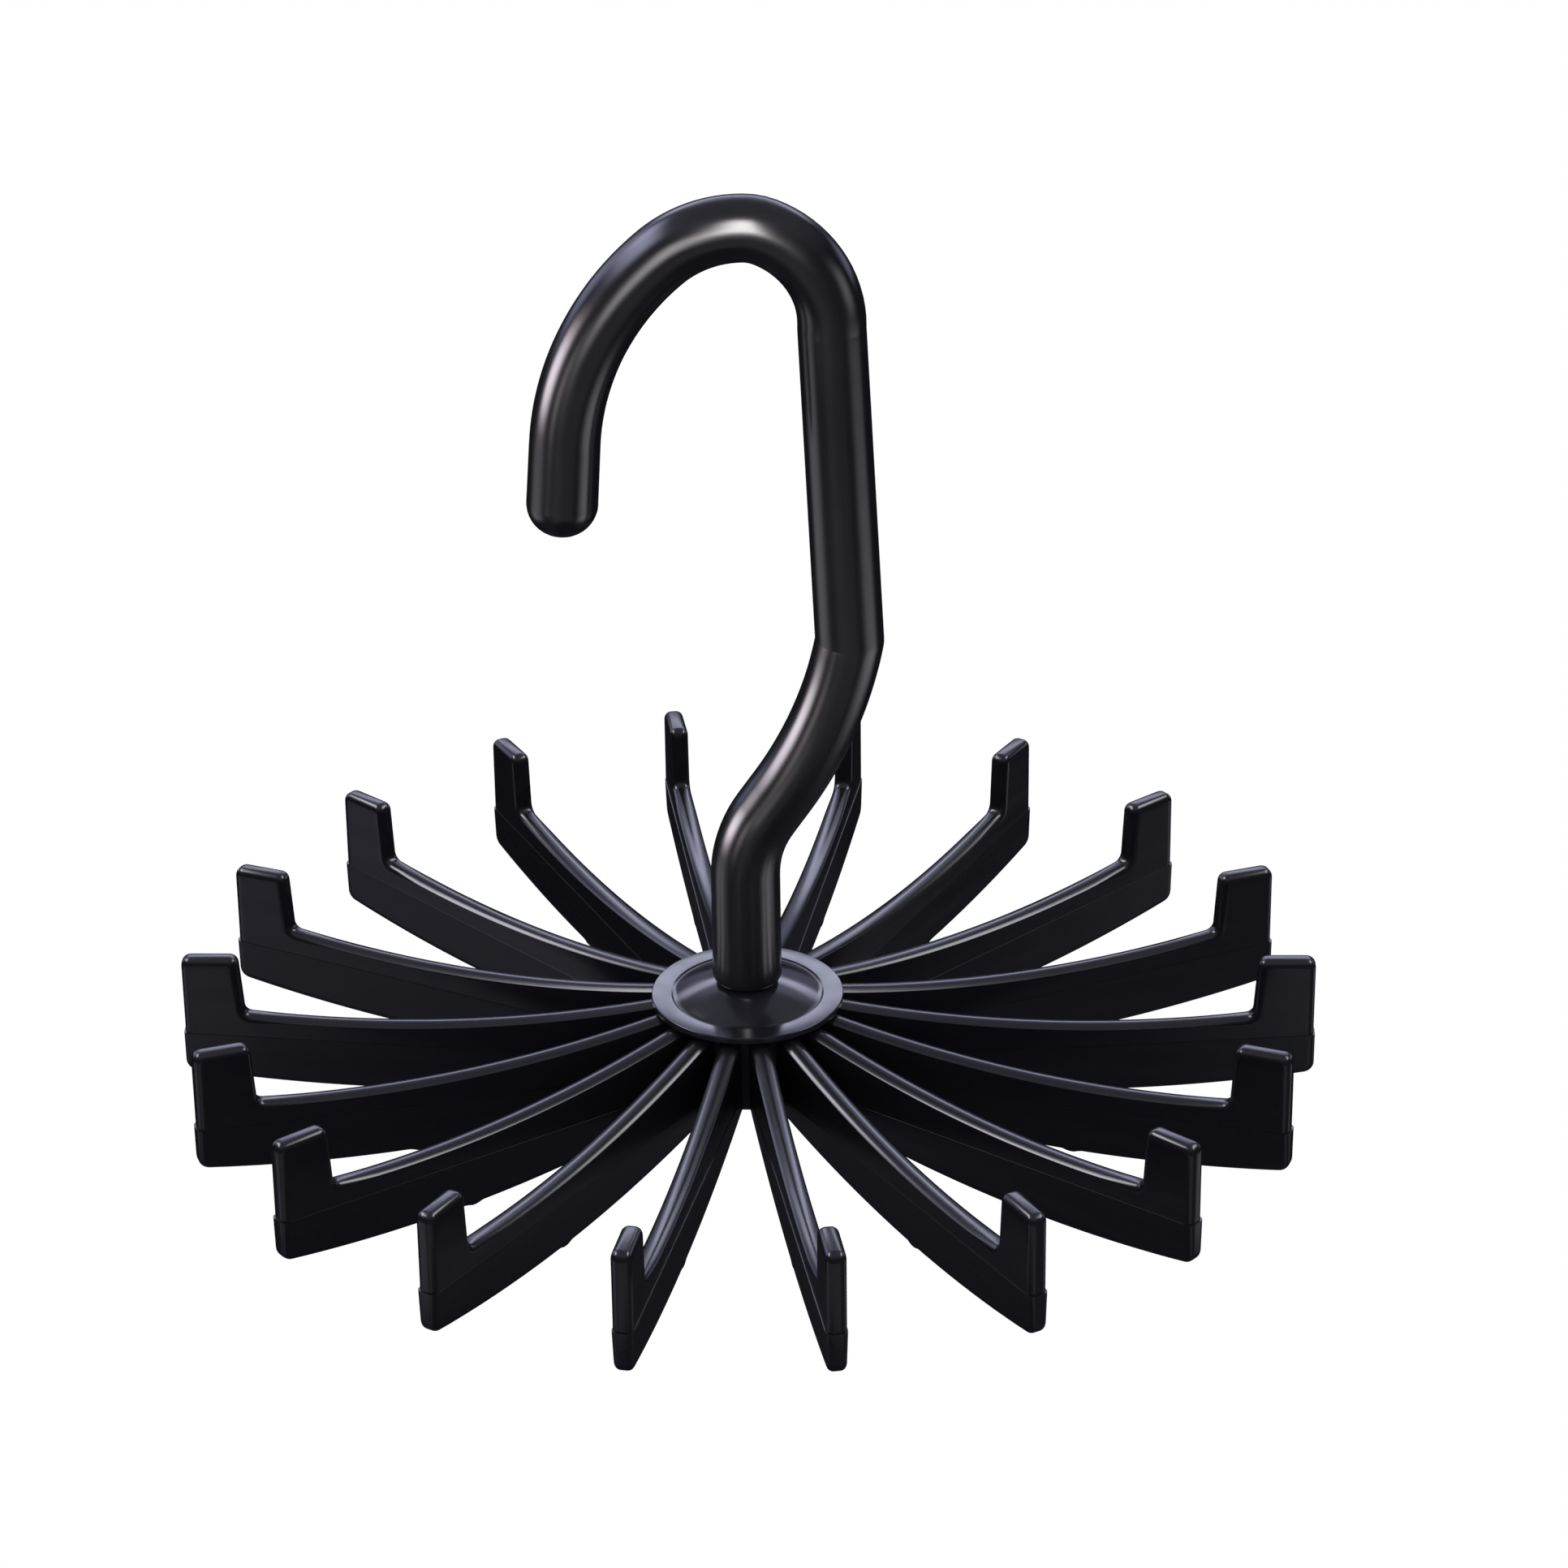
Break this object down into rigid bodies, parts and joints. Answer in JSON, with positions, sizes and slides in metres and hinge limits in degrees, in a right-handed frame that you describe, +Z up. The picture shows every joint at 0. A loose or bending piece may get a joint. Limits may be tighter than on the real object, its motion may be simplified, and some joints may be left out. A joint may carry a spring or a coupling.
{
  "type": "tie hanger",
  "caption": "Swivel tie hanger: a moulded hook carries a flat spider of radial arms with upturned fingers, which turns freely below a rimmed hub disc.",
  "frame": {"origin": "where the spin axis meets the inside of the hook's crown, the seat of the rail", "axes": "+Z up along the spin axis; the hook lies in the XZ plane with its tip towards -X; the front of the picture is towards -Y"},
  "size_m": [0.1516, 0.1498, 0.1277],
  "materials": {
    "hook_plastic": "glossy black moulding",
    "spider_plastic": "glossy black moulding",
    "swivel_steel": "zinc-plated"
  },
  "bodies": {
    "hook": {"hook": "hook_plastic", "swivel_washer": "swivel_steel", "swivel_screw": "swivel_steel"},
    "spider": {"hub": "spider_plastic", "arm_01": "spider_plastic", "arm_02": "spider_plastic", "arm_03": "spider_plastic", "arm_04": "spider_plastic", "arm_05": "spider_plastic", "arm_06": "spider_plastic", "arm_07": "spider_plastic", "arm_08": "spider_plastic", "arm_09": "spider_plastic", "arm_10": "spider_plastic", "arm_11": "spider_plastic", "arm_12": "spider_plastic", "arm_13": "spider_plastic", "arm_14": "spider_plastic", "arm_15": "spider_plastic", "arm_16": "spider_plastic", "arm_17": "spider_plastic", "arm_18": "spider_plastic"}
  },
  "joints": [
    {"name": "hub_spin", "type": "hinge", "parent": "hook", "child": "spider", "pos_m": [0, 0, -0.1021], "axis": [0, 0, 1], "continuous": true}
  ]
}
